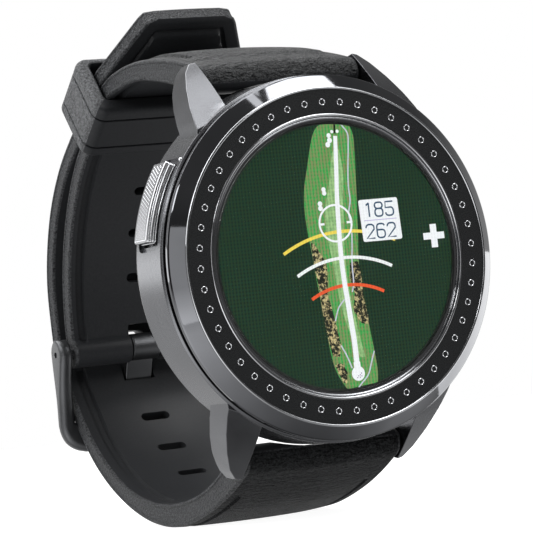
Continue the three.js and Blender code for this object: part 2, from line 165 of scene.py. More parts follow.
def sideways(outline, low, high):
    """An outline of (y, z) pushed along x."""
    return loft([[(x, y, z) for y, z in outline] for x in (low, high)])


def join(*parts):
    points, faces, base = [], [], 0
    for p, f in parts:
        points.append(p)
        faces += [tuple(i + base for i in face) for face in f]
        base += len(p)
    return np.vstack(points), faces


def body_of_points(name, shape, looks=(), indices=None):
    """A mesh object from points and faces, its faces turned outwards; indices pick each face's look."""
    points, faces = shape
    mesh = bpy.data.meshes.new(name)
    mesh.from_pydata(part(points).tolist(), [], faces)
    for look in looks:
        mesh.materials.append(look.material)
    if indices is not None:
        mesh.polygons.foreach_set("material_index", indices)
    bm = bmesh.new()
    bm.from_mesh(mesh)
    bmesh.ops.remove_doubles(bm, verts=bm.verts, dist=1e-7)
    bmesh.ops.recalc_face_normals(bm, faces=bm.faces)
    bm.to_mesh(mesh)
    bm.free()
    obj = bpy.data.objects.new(name, mesh)
    scene.collection.objects.link(obj)
    return obj


def carve(obj, shape, operation="DIFFERENCE"):
    tool = body_of_points("tool", shape)
    modifier = obj.modifiers.new("carve", "BOOLEAN")
    modifier.operation = operation
    modifier.solver = "EXACT"
    modifier.object = tool
    depsgraph = bpy.context.evaluated_depsgraph_get()
    made = bpy.data.meshes.new_from_object(obj.evaluated_get(depsgraph))
    obj.modifiers.clear()
    spent = obj.data
    obj.data = made
    bpy.data.meshes.remove(spent)
    bpy.data.objects.remove(tool)


def settle(obj, body, slot, look=None, stands_for=(), sharp=35, bevel=0.0, bevel_angle=30, even=True):
    """Gives a finished mesh its material, shading, edge rounding and body."""
    if look:
        obj.data.materials.clear()
        obj.data.materials.append(look.material)
    if bevel:
        edges = obj.modifiers.new("edges", "BEVEL")
        edges.width = bevel * MM
        edges.segments = 3
        edges.limit_method = "ANGLE"
        edges.angle_limit = radians(bevel_angle)
        edges.harden_normals = True
    obj.data.shade_smooth()
    obj.data.set_sharp_from_angle(angle=radians(80 if bevel else sharp))
    if even and not bevel:
        flats = obj.modifiers.new("flats", "WEIGHTED_NORMAL")
        flats.keep_sharp = True
    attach(obj, body)
    if stands_for:
        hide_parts(*stands_for)
    return obj


def solid(name, shape, body, slot, look, stands_for=(), **finish):
    """A piece made straight from a shape."""
    return settle(body_of_points(name, shape), body, slot, look, stands_for, **finish)


# ---- materials
def linear(*srgb):
    """A display colour of 0 to 255 as linear red, green, blue and alpha."""
    c = [v / 255 for v in srgb]
    return tuple(v / 12.92 if v <= 0.04045 else ((v + 0.055) / 1.055) ** 2.4 for v in c) + (1.0,)


def shade_of(colour, share):
    """The colour made brighter or darker by that share."""
    return tuple(share * c for c in colour[:3]) + (1.0,)


class Graph:
    """The nodes of a material or world. A value is linked if it is a socket, and set if it is a number."""

    def __init__(self, tree):
        self.tree = tree

    def feed(self, socket, value):
        if isinstance(value, bpy.types.NodeSocket):
            self.tree.links.new(value, socket)
        else:
            socket.default_value = value

    def add(self, kind, settings=(), **inputs):
        made = self.tree.nodes.new(kind)
        for key, value in dict(settings).items():
            setattr(made, key, value)
        for key, value in inputs.items():
            self.feed(made.inputs[key.replace("_", " ")], value)
        return made

    def axes(self, place):
        split = self.add("ShaderNodeSeparateXYZ", Vector=place)
        return split.outputs["X"], split.outputs["Y"], split.outputs["Z"]

    def math(self, operation, a, b=0.0, c=0.0):
        made = self.add("ShaderNodeMath", {"operation": operation})
        for socket, value in zip(made.inputs, (a, b, c)):
            self.feed(socket, value)
        return made.outputs[0]

    def between(self, value, low, high, to_low=0.0, to_high=1.0):
        ends = {"From_Min": low, "From_Max": high, "To_Min": to_low, "To_Max": to_high}
        return self.add("ShaderNodeMapRange", Value=value, **ends).outputs["Result"]


class Look(Graph):
    """A node material built round one Principled shader, with object coordinates in metres."""

    def __init__(self, name, **fixed):
        self.material = bpy.data.materials.new(name)
        self.material.use_nodes = True
        super().__init__(self.material.node_tree)
        self.shader = self.tree.nodes["Principled BSDF"]
        self.place = self.add("ShaderNodeTexCoord").outputs["Object"]
        self.relief = None
        self.set(**fixed)

    def set(self, **inputs):
        for key, value in inputs.items():
            self.feed(self.shader.inputs[key.replace("_", " ")], value)

    def stretched(self, x, y, z):
        """The coordinates scaled along each axis, for grain that runs one way."""
        return self.add("ShaderNodeMapping", Vector=self.place, Scale=(x, y, z)).outputs["Vector"]

    def noise(self, size, detail=3.0, rough=0.55, place=None):
        """Noise with features about size millimetres across, from 0 to 1."""
        fixed = {"Scale": 1 / (size * MM), "Detail": detail, "Roughness": rough}
        return self.add("ShaderNodeTexNoise", Vector=place or self.place, **fixed).outputs["Fac"]

    def cell_edges(self, size):
        """The distance to the nearest edge between cells about size millimetres across."""
        settings = {"feature": "DISTANCE_TO_EDGE"}
        made = self.add("ShaderNodeTexVoronoi", settings, Vector=self.place, Scale=1 / (size * MM))
        return made.outputs["Distance"]

    def blend(self, share, a, b):
        made = self.add("ShaderNodeMix", {"data_type": "RGBA"})
        for socket, value in ((made.inputs["Factor"], share), (made.inputs[6], a), (made.inputs[7], b)):
            self.feed(socket, value)
        return made.outputs[2]

    def bump(self, height, depth):
        """Bump of that many millimetres, on top of any bump already there."""
        made = self.add("ShaderNodeBump", Height=height, Distance=depth * MM, Strength=1.0)
        if self.relief:
            self.feed(made.inputs["Normal"], self.relief)
        self.relief = made.outputs["Normal"]
        self.set(Normal=self.relief)


def worn_metal(name, colour, rough, spread=0.06, brushed=None, brush_depth=0.004, **fixed):
    """Coated metal: a fine grain in its roughness and surface, brushed one way where a stretch is given."""
    look = Look(name, Metallic=1.0, **fixed)
    place = look.stretched(*brushed) if brushed else look.place
    grain = look.noise(0.12, 3, 0.6, place)
    cloud = look.noise(6.0, 2)
    mixed = look.math("MULTIPLY_ADD", cloud, 0.4, look.math("MULTIPLY", grain, 0.6))
    look.set(Roughness=look.between(mixed, 0.3, 0.7, rough - spread, rough + spread))
    look.set(Base_Color=look.blend(look.between(cloud, 0.35, 0.65), shade_of(colour, 0.88), colour))
    if brush_depth:
        look.bump(grain, brush_depth)
    return look


def rubber(name, colour, rough, grain, depth, top_highlight=0.35, wrinkles=None, shine=0.16):
    """Silicone rubber: a fine moulded grain, its tops made lighter as a painted highlight."""
    look = Look(name, Specular_IOR_Level=shine)
    fine = look.noise(grain, 4, 0.65)
    soft = look.noise(9.0, 2)
    # The grain's high points get the lighter colour: a painted highlight on its tops.
    dim, bright = shade_of(colour, 1 - top_highlight), shade_of(colour, 1 + top_highlight)
    look.set(Base_Color=look.blend(look.between(fine, 0.36, 0.66), dim, bright))
    mixed = look.math("MULTIPLY_ADD", soft, 0.5, look.math("MULTIPLY", fine, 0.5))
    look.set(Roughness=look.between(mixed, 0.35, 0.65, rough - 0.07, rough + 0.07))
    look.bump(fine, depth)
    if wrinkles:
        wrinkles(look)
    return look


def leather_creases(look):
    """A leather-like cell grain, with deeper wrinkles and creases across the strap beside each lug."""
    look.bump(look.between(look.cell_edges(0.75), 0.0, 0.12), 0.07)
    _, depth, _ = look.axes(look.place)
    wrinkle = look.noise(0.55, 3, 0.6, look.stretched(0.45, 1, 1))
    beside_lug = look.between(depth, 0.0105, 0.006)
    look.bump(look.math("MULTIPLY", look.between(wrinkle, 0.4, 0.56), beside_lug), 0.3)
    crinkle = look.noise(1.3, 3, 0.7)
    drift = look.math("MULTIPLY_ADD", crinkle, 0.0022, depth)
    for middle in (0.0062, 0.0085):
        away = look.math("ABSOLUTE", look.math("SUBTRACT", drift, middle))
        look.bump(look.between(away, 0.0, 0.0003), 0.12)


def lit(name, colour, second=None, size=1.0, strength=1.0, grid=0.25, sharpness=0.12, tilt=0.0, stripes=0.0):
    """A part of the lit display: its colour, mottled or striped with a second one, under a pixel grid."""
    look = Look(name, Base_Color=(0.004, 0.005, 0.004, 1), Roughness=0.5, Specular_IOR_Level=0.2)
    x, _, z = look.axes(look.place)
    pitch = 2 * pi / (0.44 * MM)
    columns = look.math("SINE", look.math("MULTIPLY", x, pitch))
    rows = look.math("SINE", look.math("MULTIPLY", z, pitch))
    ripple = look.math("MULTIPLY_ADD", columns, 0.65, look.math("MULTIPLY", rows, 0.35))
    shade = look.math("MULTIPLY_ADD", ripple, grid, 1.0 - grid * 0.3)
    glow = colour
    if second:
        patch = look.noise(size, 4, 0.65)
        if stripes:
            patch = look.math("MULTIPLY_ADD", columns, stripes, patch)
        share = look.between(patch, 0.5 + tilt - sharpness, 0.5 + tilt + sharpness)
        glow = look.blend(share, colour, second)
    black = (0.0, 0.0, 0.0, 1.0)
    look.set(Emission_Color=look.blend(shade, black, glow), Emission_Strength=strength)
    return look


# ---- looks
GUNMETAL = worn_metal("gunmetal_satin", linear(104, 105, 108), 0.26, 0.05)
LUG_METAL = worn_metal("gunmetal_brushed", linear(106, 107, 110), 0.21, 0.05, brushed=(1, 1, 0.12),
                       brush_depth=0.006)
BEZEL_METAL = worn_metal("bezel_gloss", linear(98, 99, 102), 0.05, 0.015, brush_depth=0.0006)
BRIGHT = worn_metal("polished_steel", linear(206, 207, 210), 0.1, 0.03, brush_depth=0)
PIP_METAL = worn_metal("polished_pip", linear(196, 197, 200), 0.24, 0.03, brush_depth=0)
KNURL_METAL = worn_metal("knurled_steel", linear(184, 185, 188), 0.24, 0.04, brush_depth=0)
BEAD_METAL = worn_metal("polished_edge", linear(176, 177, 180), 0.08, 0.02, brush_depth=0.0005)
RIM_METAL = worn_metal("polished_dark_rim", linear(178, 179, 182), 0.1, 0.02, brush_depth=0)
STEEL = worn_metal("turned_steel", linear(176, 177, 180), 0.28, 0.06)
BACK_METAL = worn_metal("back_satin", linear(96, 97, 100), 0.36, 0.06)
BUCKLE_METAL = worn_metal("buckle_black", linear(86, 87, 89), 0.4, 0.06, brush_depth=0.012)
BUCKLE_METAL.set(Metallic=0.9)
GOLD = worn_metal("gold_plate", linear(226, 186, 104), 0.2, 0.05)
FOIL = worn_metal("battery_foil", linear(186, 188, 192), 0.35, 0.08, brush_depth=0.02)

GRAIN_RUBBER = rubber("strap_side_grain", linear(64, 65, 67), 0.5, 0.27, 0.4, 0.8)
SMOOTH_RUBBER = rubber("strap_inner_smooth", linear(42, 43, 45), 0.45, 0.3, 0.01, 0.12)
# Two copies of one leathery rubber: the upper strap's made lighter as painted light, the lower strap's made
# darker as painted shade where less light reaches it.
LIT_UPPER_LEATHERY = rubber("strap_upper_leathery_lit", linear(68, 69, 70), 0.45, 0.26, 0.35, 0.7, leather_creases)
SHADED_LOWER_LEATHERY = rubber("strap_lower_leathery_shaded", linear(42, 43, 44), 0.55, 0.26, 0.35, 0.7, leather_creases,
                        0.04)
# The keeper is the strap sides' grain rubber made lighter: painted light where the keeper is lit.
LIT_KEEPER_RUBBER = rubber("keeper_grain_lit", linear(90, 91, 93), 0.5, 0.27, 0.4, 0.65)
SEAL_RUBBER = rubber("seal_rubber", linear(30, 30, 31), 0.7, 0.3, 0.01, 0.1)

MAP_GRASS = lit(
    "map_grass", linear(60, 176, 84), linear(136, 142, 94), 0.4, sharpness=0.14, stripes=0.12
)
MAP_MOWN = lit("map_mown", linear(126, 178, 112), linear(178, 212, 150), 0.8, sharpness=0.2)
ROUGH_GROUND = lit(
    "screen_rough", linear(0, 62, 46), linear(32, 54, 26), 0.45, grid=0.7, sharpness=0.2, stripes=0.28
)


def insert_look():
    look = Look("insert_black_satin", Base_Color=linear(30, 31, 32), Specular_IOR_Level=0.5)
    fine = look.noise(0.1, 3)
    look.set(Roughness=look.between(fine, 0.3, 0.7, 0.24, 0.32))
    look.bump(fine, 0.001)
    return look


def clear_look():
    look = Look("dial_glass", Transmission_Weight=1.0, IOR=1.3, Base_Color=(0.97, 1.0, 0.98, 1.0))
    haze = look.noise(4.0, 2)
    look.set(Roughness=look.between(haze, 0.3, 0.7, 0.0, 0.02))
    return look


def plain_look(name, colour, rough):
    look = Look(name)
    patch = look.noise(1.0, 4)
    look.set(Base_Color=look.blend(look.between(patch, 0.35, 0.65), shade_of(colour, 0.75), colour))
    look.set(Roughness=look.between(patch, 0.3, 0.7, rough - 0.05, rough + 0.05))
    look.bump(patch, 0.004)
    return look


INSERT = insert_look()
CLEAR = clear_look()
INNER_BLACK = plain_look("inner_black", linear(16, 16, 17), 0.4)
BOARD = plain_look("circuit_board", linear(38, 88, 58), 0.5)
CERAMIC = plain_look("antenna_ceramic", linear(205, 192, 166), 0.6)
COPPER_FILM = plain_look("copper_film", linear(176, 104, 54), 0.4)


# ---- bezel and dial
def make_case():
    profile = rounded([(19.6, -2.45), (21.6, -2.45), (21.6, -2.8), (22.3, -2.8), (CASE_R, -3.05),
                       (CASE_R, -9.6), (22.2, -10.5), (20.9, -11.6), (19.8, -11.6), (19.8, -10.6),
                       (15.0, -10.6), (15.0, -9.7), (20.3, -9.7), (20.3, -3.9), (19.6, -3.9)], 0.12)
    case = body_of_points("case_shell", lathe(profile, ROUND_STEPS))
    carve(case, curved_pad(22.12, 26.0, 15.1, 2.65, 0.9))
    carve(case, curved_pad(21.75, 26.0, 13.5, 2.2, 0.5))
    settle(case, "watch", "case", GUNMETAL, stands_for=("case_body",), sharp=28)


def curved_pad(inner, outer, half_angle, half_height, corner):
    """A block that follows the case's curve at the button, with rounded corners in its face."""
    across, up = 40, 10
    half_run = radians(half_angle) * CASE_R
    places = []
    for v in np.linspace(-1, 1, up + 1):
        for u in np.linspace(-1, 1, across + 1):
            a, b = u * half_run, v * half_height
            da, db = abs(a) - (half_run - corner), abs(b) - (half_height - corner)
            if da > 0 and db > 0:
                share = max(da, db) / hypot(da, db)
                a = np.sign(a) * (half_run - corner + da * share)
                b = np.sign(b) * (half_height - corner + db * share)
            places.append((BUTTON_ANGLE + a / CASE_R, BUTTON_Z + b))
    points = [(r * cos(t), r * sin(t), z) for r in (inner, outer) for t, z in places]
    base, row = len(places), across + 1
    faces = []
    for i in range(up):
        for j in range(across):
            first = i * row + j
            quad = (first, first + 1, first + row + 1, first + row)
            faces.append(quad)
            faces.append(tuple(base + k for k in quad[::-1]))
    rim = [*range(row), *range(2 * row - 1, base, row), *range(base - 2, base - row - 1, -1)]
    rim += range(base - 2 * row, 0, -row)
    for a, b in zip(rim, rim[1:] + rim[:1]):
        faces.append((a, b, base + b, base + a))
    return np.array(points), faces


def make_bezel():
    slope = rounded([(16.45, -1.0), (18.2, -1.0), (18.2, -1.35), (19.4, -1.35), (19.4, -1.0), (20.46, -1.0),
                     (20.46, 0.05), (20.7, -0.06), (22.16, -1.28), (BEZEL_R, -1.5), (BEZEL_R, -1.95),
                     (22.15, -2.2), (16.45, -2.2)], 0.09)
    bead = arc((20.52, 0.0), 0.17, 0, 345, 23)
    insert = rounded([(17.42, -0.8), (20.42, -0.8), (20.42, -0.01), (17.42, -0.01)], 0.06)
    solid("bezel_slope", lathe(slope, ROUND_STEPS), "watch", "bezel", BEZEL_METAL, ("bezel_ring",), sharp=24)
    solid("bezel_bead", lathe(bead, ROUND_STEPS), "watch", "rim", BEAD_METAL, sharp=60)
    solid("bezel_face", lathe(insert, ROUND_STEPS), "watch", "insert", INSERT, ("bezel_insert",))


def make_pips():
    """48 small polished cups: a raised lip round a hollow, with a rounded stud in its middle."""
    cup = [(0, -0.06), (0.07, -0.08), (0.13, -0.16), (0.18, -0.2), (0.23, -0.16), (0.28, -0.02), (0.33, 0.07),
           (0.37, 0.09), (0.41, 0.06), (0.44, -0.02), (0.45, -0.5), (0, -0.5)]
    turns = [2 * pi * i / PIP_COUNT for i in range(PIP_COUNT)]
    spots = [(PIP_CIRCLE_R * cos(t), PIP_CIRCLE_R * sin(t)) for t in turns]
    cups = join(*[lathe(cup, 24, spot) for spot in spots])
    solid("pip_cups", cups, "watch", "pips", PIP_METAL, ("pip_ring",), sharp=50)


def make_rim():
    profile = [(17.42, -0.9), (17.42, -0.1), *arc((17.22, -0.1), 0.19, 10, 165, 12), (17.01, -0.24),
               *arc((16.88, -0.26), 0.11, 10, 170, 8), (16.74, -0.36), (16.45, -0.38), (16.42, -0.9)]
    pane = [(0, -0.42), (16.36, -0.42), (16.38, -0.4), (16.38, -0.26), (16.36, -0.24), (0, -0.24)]
    border = [(16.1, -1.3), (16.4, -1.3), (16.4, -0.46), (16.1, -0.46)]
    solid("polished_rim", lathe(profile, ROUND_STEPS), "watch", "rim", RIM_METAL, ("inner_rim",), sharp=40)
    solid("dial_glass", lathe(pane), "watch", "glass", CLEAR, ("glass",))
    solid("screen_border", lathe(border), "watch", "inner_frame", INNER_BLACK)


# ---- display map
SCREEN_Z = -0.56
LAYER = 0.006
BALL = (1.05, -14.4)
TARGET = (0.25, 4.0)


def flat(name, layer, look, *outlines):
    """Flat shapes of the map, a hair thick, stacked by layer above the screen."""
    low = SCREEN_Z + LAYER * layer
    shapes = [facing(outline, low, low + LAYER * 0.8) for outline in outlines]
    solid(name, join(*shapes), "watch", "display", look)


def curve(stations, spacing=0.4):
    return [tuple(p) for p in smooth_path(stations, spacing)[0]]


def stroke(points, width):
    """The outline of a line through the points, of one width or of a width for each of its ends."""
    p = np.array(points, float)
    run = headings(p)
    half = np.linspace(*width, len(p))[:, None] / 2 if isinstance(width, tuple) else width / 2
    side = np.stack([-run[:, 1], run[:, 0]], 1) * half
    return [tuple(q) for q in np.vstack([p + side, (p - side)[::-1]])]


def ring_outline(centre, radius, width, first, last, steps):
    outer = arc(centre, radius + width / 2, first, last, steps)
    return outer + arc(centre, radius - width / 2, last, first, steps)


def ring_halves(centre, radius, width):
    return [ring_outline(centre, radius, width, first, first + 180, 36) for first in (0, 180)]


def within_screen(points, radius=16.15):
    """The points, with any outside the screen drawn back to its edge."""
    return [(x * min(1, radius / hypot(x, y)), y * min(1, radius / hypot(x, y))) for x, y in points]


def make_screen():
    disc = lathe([(0, -1.2), (SCREEN_R, -1.2), (SCREEN_R, SCREEN_Z), (0, SCREEN_Z)])
    solid("display_screen", disc, "watch", "display", ROUGH_GROUND, ("display_panel",))
    left = [(0.2, 16.3), (-0.8, 15.9), (-1.5, 15.0), (-2.1, 13.4), (-2.8, 11.0), (-3.5, 8.6), (-3.8, 6.0),
            (-3.7, 3.0), (-3.4, 0.0), (-3.2, -3.0), (-2.9, -6.0), (-2.6, -9.5), (-2.2, -12.9), (-1.6, -14.6),
            (-0.6, -16.3)]
    right = [(3.6, -15.9), (3.8, -14.4), (3.6, -11.5), (3.2, -7.5), (2.9, -3.5), (2.9, -0.5), (3.2, 2.5),
             (3.5, 6.0), (3.8, 9.5), (4.0, 12.5), (4.0, 14.8), (3.5, 15.9), (2.6, 16.2)]
    flat("map_hole", 1, MAP_GRASS, within_screen(curve(left) + curve(right)))
    lane = [(1.7, 13.6), (2.1, 10.5), (1.7, 7.0), (1.3, 3.0), (1.0, -1.0), (1.2, -5.0), (1.7, -9.0),
            (2.3, -12.5)]
    back = [(1.6, -12.5), (0.4, -9.0), (-0.4, -5.0), (-0.7, -1.0), (-1.1, 2.5), (-1.0, 5.5), (0.0, 9.0),
            (0.8, 12.5)]
    flat("map_fairway", 2, MAP_MOWN, curve(lane) + curve(back))
    make_trees()
    make_paths()
    make_marks()


def make_trees():
    rows = {"map_trees_left": [(-3.5, 2.0), (-2.9, 1.6), (-2.2, 0.3), (-1.6, -0.6), (-1.7, -2.6),
                               (-1.9, -4.6), (-1.5, -6.6), (-1.2, -8.6), (-0.9, -10.6), (-1.2, -12.2),
                               (-2.2, -12.0), (-2.6, -9.5), (-2.9, -6.4), (-3.0, -4.0), (-3.3, -1.5)],
            "map_trees_low": [(-2.1, -12.9), (-1.0, -13.0), (-0.4, -14.1), (-0.6, -15.5), (-1.2, -15.3)],
            "map_trees_right": [(1.6, -0.9), (2.8, -0.8), (3.0, -3.0), (3.0, -5.4), (3.3, -7.4), (3.3, -8.6),
                                (2.3, -8.4), (1.4, -6.8), (1.8, -4.6), (1.4, -2.8)]}
    for name, outline in rows.items():
        look = lit(name, linear(22, 28, 20), linear(214, 196, 144), 0.4, sharpness=0.06, tilt=0.04)
        flat(name, 3, look, rounded(outline, 0.3))


def make_paths():
    lines = [
        [(2.5, 16.0), (3.3, 14.8), (3.2, 13.2), (2.9, 11.1), (2.6, 8.5), (2.6, 6.5), (2.2, 5.0), (2.4, 3.6),
         (2.2, 1.3), (1.9, -1.1), (1.8, -3.5), (1.5, -4.5)],
        [(0.3, -5.3), (-0.6, -6.2), (-1.3, -7.8)],
        [(-0.9, -10.8), (-0.3, -12.0), (0.3, -13.7)],
        [(3.6, -11.9), (3.1, -13.1), (2.4, -14.7), (1.3, -15.7), (0.9, -16.1)],
    ]
    look = lit("map_path", linear(206, 206, 222), grid=0.1)
    flat("map_paths", 4, look, *[stroke(curve(line, 0.35), 0.18) for line in lines])


def make_marks():
    white = lit("map_white", linear(250, 250, 255), grid=0.06)
    centre_line = [(1.55, 14.6), (1.25, 11.2), (0.85, 7.1), (0.6, 3.0), (0.5, 0.0), (0.55, -3.1), (0.8, -7.0),
                   (1.0, -10.5), (1.0, -13.8)]
    bunkers = {(0.65, 14.7): 0.3, (0.7, 14.1): 0.34, (0.4, 13.6): 0.34, (-0.9, 8.2): 0.3, (-0.85, 7.75): 0.3,
               (-1.6, 6.5): 0.32, (-1.6, 5.95): 0.33, (1.15, 15.15): 0.22, (1.9, 15.15): 0.22}
    ticks = [stroke([(TARGET[0] + s * 1.55, TARGET[1]), (TARGET[0] + s * 2.2, TARGET[1])], 0.28)
             for s in (-1, 1)]
    shot = [stroke(curve(centre_line, 0.35), (0.54, 0.74)), stroke([BALL, (1.0, -13.0)], 0.9)]
    flat("map_line", 5, white, *shot, *[arc(spot, radius, 0, 330, 11) for spot, radius in bunkers.items()])
    ball = arc(BALL, 0.9, 0, 350, 35)
    flat("map_ball_and_target", 6, white, ball, *ring_halves(TARGET, 2.22, 0.26), *ticks)
    flag = lit("map_black", linear(8, 14, 10), grid=0.05)
    flat("map_flag", 7, flag, stroke([(1.6, 16.1), (1.5, 14.9)], 0.26))
    dimples = ((0.0, -0.3), (0.25, -0.2), (0.42, 0.0), (0.22, -0.48), (-0.15, -0.52), (0.45, -0.35))
    dots = [arc((BALL[0] + dx, BALL[1] + dy), 0.07, 0, 315, 7) for dx, dy in dimples]
    flat("map_ball_dimples", 7, lit("map_violet", linear(96, 40, 130), grid=0.05), *dots)
    arcs = {
        "map_arc_far": (17.35, 65.2, linear(248, 220, 92)),
        "map_arc_mid": (14.15, 63.1, linear(250, 250, 252)),
        "map_arc_near": (10.8, 63.1, linear(240, 92, 50)),
    }
    for name, (radius, first, colour) in arcs.items():
        flat(name, 4.5, lit(name, colour, grid=0.12), ring_outline(BALL, radius, 0.4, first, 118.8, 60))
    box = rounded([(3.7, 6.55), (9.2, 6.55), (9.35, 1.4), (3.85, 1.4)], 0.3)
    plus = [(-1.5, 0.42), (-0.45, 0.42), (-0.45, 1.45), (0.45, 1.45), (0.45, 0.42), (1.5, 0.42), (1.5, -0.42),
            (0.45, -0.42), (0.45, -1.45), (-0.45, -1.45), (-0.45, -0.42), (-1.5, -0.42)]
    flat("map_box_and_plus", 6, white, box, [(13.85 + x, 1.4 + y) for x, y in plus])
    flat("map_box_rule", 7, lit("map_lilac", linear(196, 186, 226), grid=0.05),
         stroke([(4.25, 3.98), (8.85, 3.98)], 0.1))
    make_digits()


def digit(character, x, y):
    """One numeral of the box: straight strokes with eased corners."""
    w, h, r, pen = 0.55, 0.85, 0.38, 0.2
    left, right, low, high = x - w, x + w, y - h, y + h
    west, east, south, north = left + r, right - r, low + r, high - r

    def bend(cx, cy, first, last):
        return arc((cx, cy), r, first, last, 4)

    strokes = {
        "1": [[(x - 0.25, high - 0.28), (x + 0.12, high)], [(x + 0.12, high + 0.02), (x + 0.12, low)]],
        "2": [[(left, high - 0.4), *bend(west, north, 180, 90), *bend(east, north, 90, 0), (right, y + 0.25),
               (left, low), (right + 0.05, low)]],
        "5": [[(right, high), (left + 0.05, high), (left, y + 0.12), *bend(east, y + 0.14 - r, 90, 0),
               *bend(east, south, 0, -90), *bend(west, south, -90, -180)]],
        "6": [[*bend(east, north, 20, 90), *bend(west, north, 90, 180), *bend(west, south, 180, 270),
               *bend(east, south, 270, 360), *bend(east, y + 0.12 - r, 0, 90), (left, y + 0.12)]],
        "8": [[*bend(west, north, 90, 180), *bend(west, y + 0.1 + r, 180, 270),
               *bend(east, y + 0.1 + r, 270, 360), *bend(east, north, 0, 90), (west, high)],
              [*bend(west, y + 0.1 - r, 90, 180), *bend(west, south, 180, 270),
               *bend(east, south, 270, 360), *bend(east, y + 0.1 - r, 0, 90)]],
    }
    return [stroke(line, pen) for line in strokes[character]]


def make_digits():
    ink = lit("map_ink", linear(36, 74, 104), grid=0.05)
    outlines = []
    for row, y in (("185", 5.25), ("262", 2.62)):
        for i, character in enumerate(row):
            outlines += digit(character, 4.95 + 1.5 * i, y)
    flat("map_digits", 7, ink, *outlines)


# ---- button
def eased_drop(edge, radius):
    """How far a face has dropped at that distance from its rounded edge."""
    return radius - (radius ** 2 - max(0, radius - edge) ** 2) ** 0.5


def knurl_drop(a, b):
    """The depth of two staggered grids of conical dimples at (a, b)."""
    pitch_a, pitch_b, dimple_r, depth = 0.42, 0.8, 0.12, 0.08
    drop = 0
    for shift in (0.5, 1):
        off_a = (a + shift * pitch_a) % pitch_a - pitch_a / 2
        off_b = (b + shift * pitch_b) % pitch_b - pitch_b / 2
        drop += depth * max(0.0, 1 - hypot(off_a, off_b) / dimple_r)
    return drop


def button_drop(a, b, half_run, low, high):
    """The drop of the button's face at (a, b): rounded edges, and knurling inside a plain border."""
    edge, border = min(half_run - abs(a), b - low), 0.42
    plain = min(edge, high - b) < border
    return eased_drop(edge, BUTTON_EASE) + (0 if plain else knurl_drop(a, b))


def make_button():
    """A curved bar: a knurled face, and a ridged shoulder on its side towards the dial."""
    half_run, low, high, face_r = radians(12.6) * CASE_R, -1.9, 1.35, 23.6
    shoulder = [*arc((23.36, 1.34), 0.24, 10, 78, 7), *arc((23.2, 1.56), 0.16, 35, 100, 5),
                *arc((22.98, 1.72), 0.16, 35, 100, 5), *arc((22.74, 1.84), 0.16, 35, 120, 5), (22.5, 1.9),
                (22.4, 1.9)]
    heel = [(22.4, -1.9), (22.5, -1.9), (22.56, -1.98), (22.7, -1.98), (22.76, -1.9), (22.9, -1.9)]
    rings = []
    for a in np.linspace(-half_run, half_run, 199):
        angle = BUTTON_ANGLE + a / CASE_R
        section = [(face_r - button_drop(a, b, half_run, low, high), b) for b in np.linspace(low, high, 66)]
        section += shoulder + heel
        squeeze = 1 - eased_drop(half_run - abs(a), BUTTON_EASE) / -low
        rings.append([(r * cos(angle), r * sin(angle), BUTTON_Z + b * squeeze) for r, b in section])
    solid("button_bar", loft(rings), "button", "button", KNURL_METAL, ("button",), sharp=50, even=False)
    collar = curved_pad(22.36, 22.64, 12.8, 2.1, 0.4)
    solid("button_collar", collar, "button", "button", BRIGHT, bevel=0.1, bevel_angle=50)
    dot = (22.45 * cos(radians(143.5)), 22.45 * sin(radians(143.5)))
    bulb = rounded([(0, -3.9), (0.24, -3.8), (0.3, -3.6), (0.24, -3.4), (0, -3.3)], 0.1)
    solid("case_dot", lathe(bulb, 20, dot), "watch", "case", BRIGHT, sharp=60)


# ---- lugs
def make_lugs():
    plan = [(11.05, 14), (16.9, 13), (15.75, 15.9), (15.5, 17.8), (15.0, 19.9), (14.1, 22.3), (13.0, 24.4),
            (11.9, 25.6), (11.05, 25.75)]
    side_view = [(13, -3.2), (18.6, -3.2), (25.75, -9.6), (25.75, -10.6), (25.4, -12.9), (23.6, -12.6),
                 (21.6, -11.6), (17.0, -8.3), (13, -6.0)]
    for end, high in ((1, "upper"), (-1, "lower")):
        for side, hand in ((-1, "left"), (1, "right")):
            outline = [(x * side, y * end) for x, y in plan]
            lug = body_of_points(f"lug_{high}_{hand}", facing(outline, -14, -2))
            carve(lug, sideways([(y * end, z) for y, z in side_view], 8 * side, 19 * side), "INTERSECT")
            carve(lug, lug_facet(side, end))
            settle(lug, "watch", "case", LUG_METAL, bevel=0.16, bevel_angle=24)


def lug_facet(side, end):
    """A big block whose lower face is the lug's front facet: slanted outwards, slightly crowned."""
    lean, middle, crown_r, reach = 0.38, 18.4, 70.0, 8.0
    normal = np.array([lean * side, end, 1.0])
    distance = (15.4 + lean * 11.05) / np.linalg.norm(normal)
    normal /= np.linalg.norm(normal)
    down = np.array([0, end, -1.0]) / 2 ** 0.5
    across = np.cross(normal, down)
    rings = []
    for along in (-40.0, *np.linspace(-reach, reach, 13), 40.0):
        near = min(abs(along), reach)
        sag = near ** 2 / (2 * crown_r) + (abs(along) - near) * near / crown_r
        foot = down * (middle + along)
        low, high = foot + normal * (distance + 0.12 - sag), foot + normal * (distance + 20)
        rings.append([low - 60 * across, low + 60 * across, high + 60 * across, high - 60 * across])
    return loft(rings)


# ---- strap
FACE_LINES = np.r_[np.arange(0, 7.4, 0.5), np.arange(7.4, 10.2, 0.1), 10.35, 10.5]
SIDE = [(0.0, 0.4), (0.04, 0.2), (0.14, 0.07), (0.3, 0.0), (0.44, 0.02), (0.5, 0.1), (0.58, 0.12)]


def outward(points):
    """Unit directions along the strap, and away from the wrist."""
    run = headings(points[:, :2])
    out = np.stack([-run[:, 1], run[:, 0]], 1)
    flip = np.sign(np.sum(out * (points[:, :2] - WRIST_CENTRE), axis=1))
    return run, out * flip[:, None]


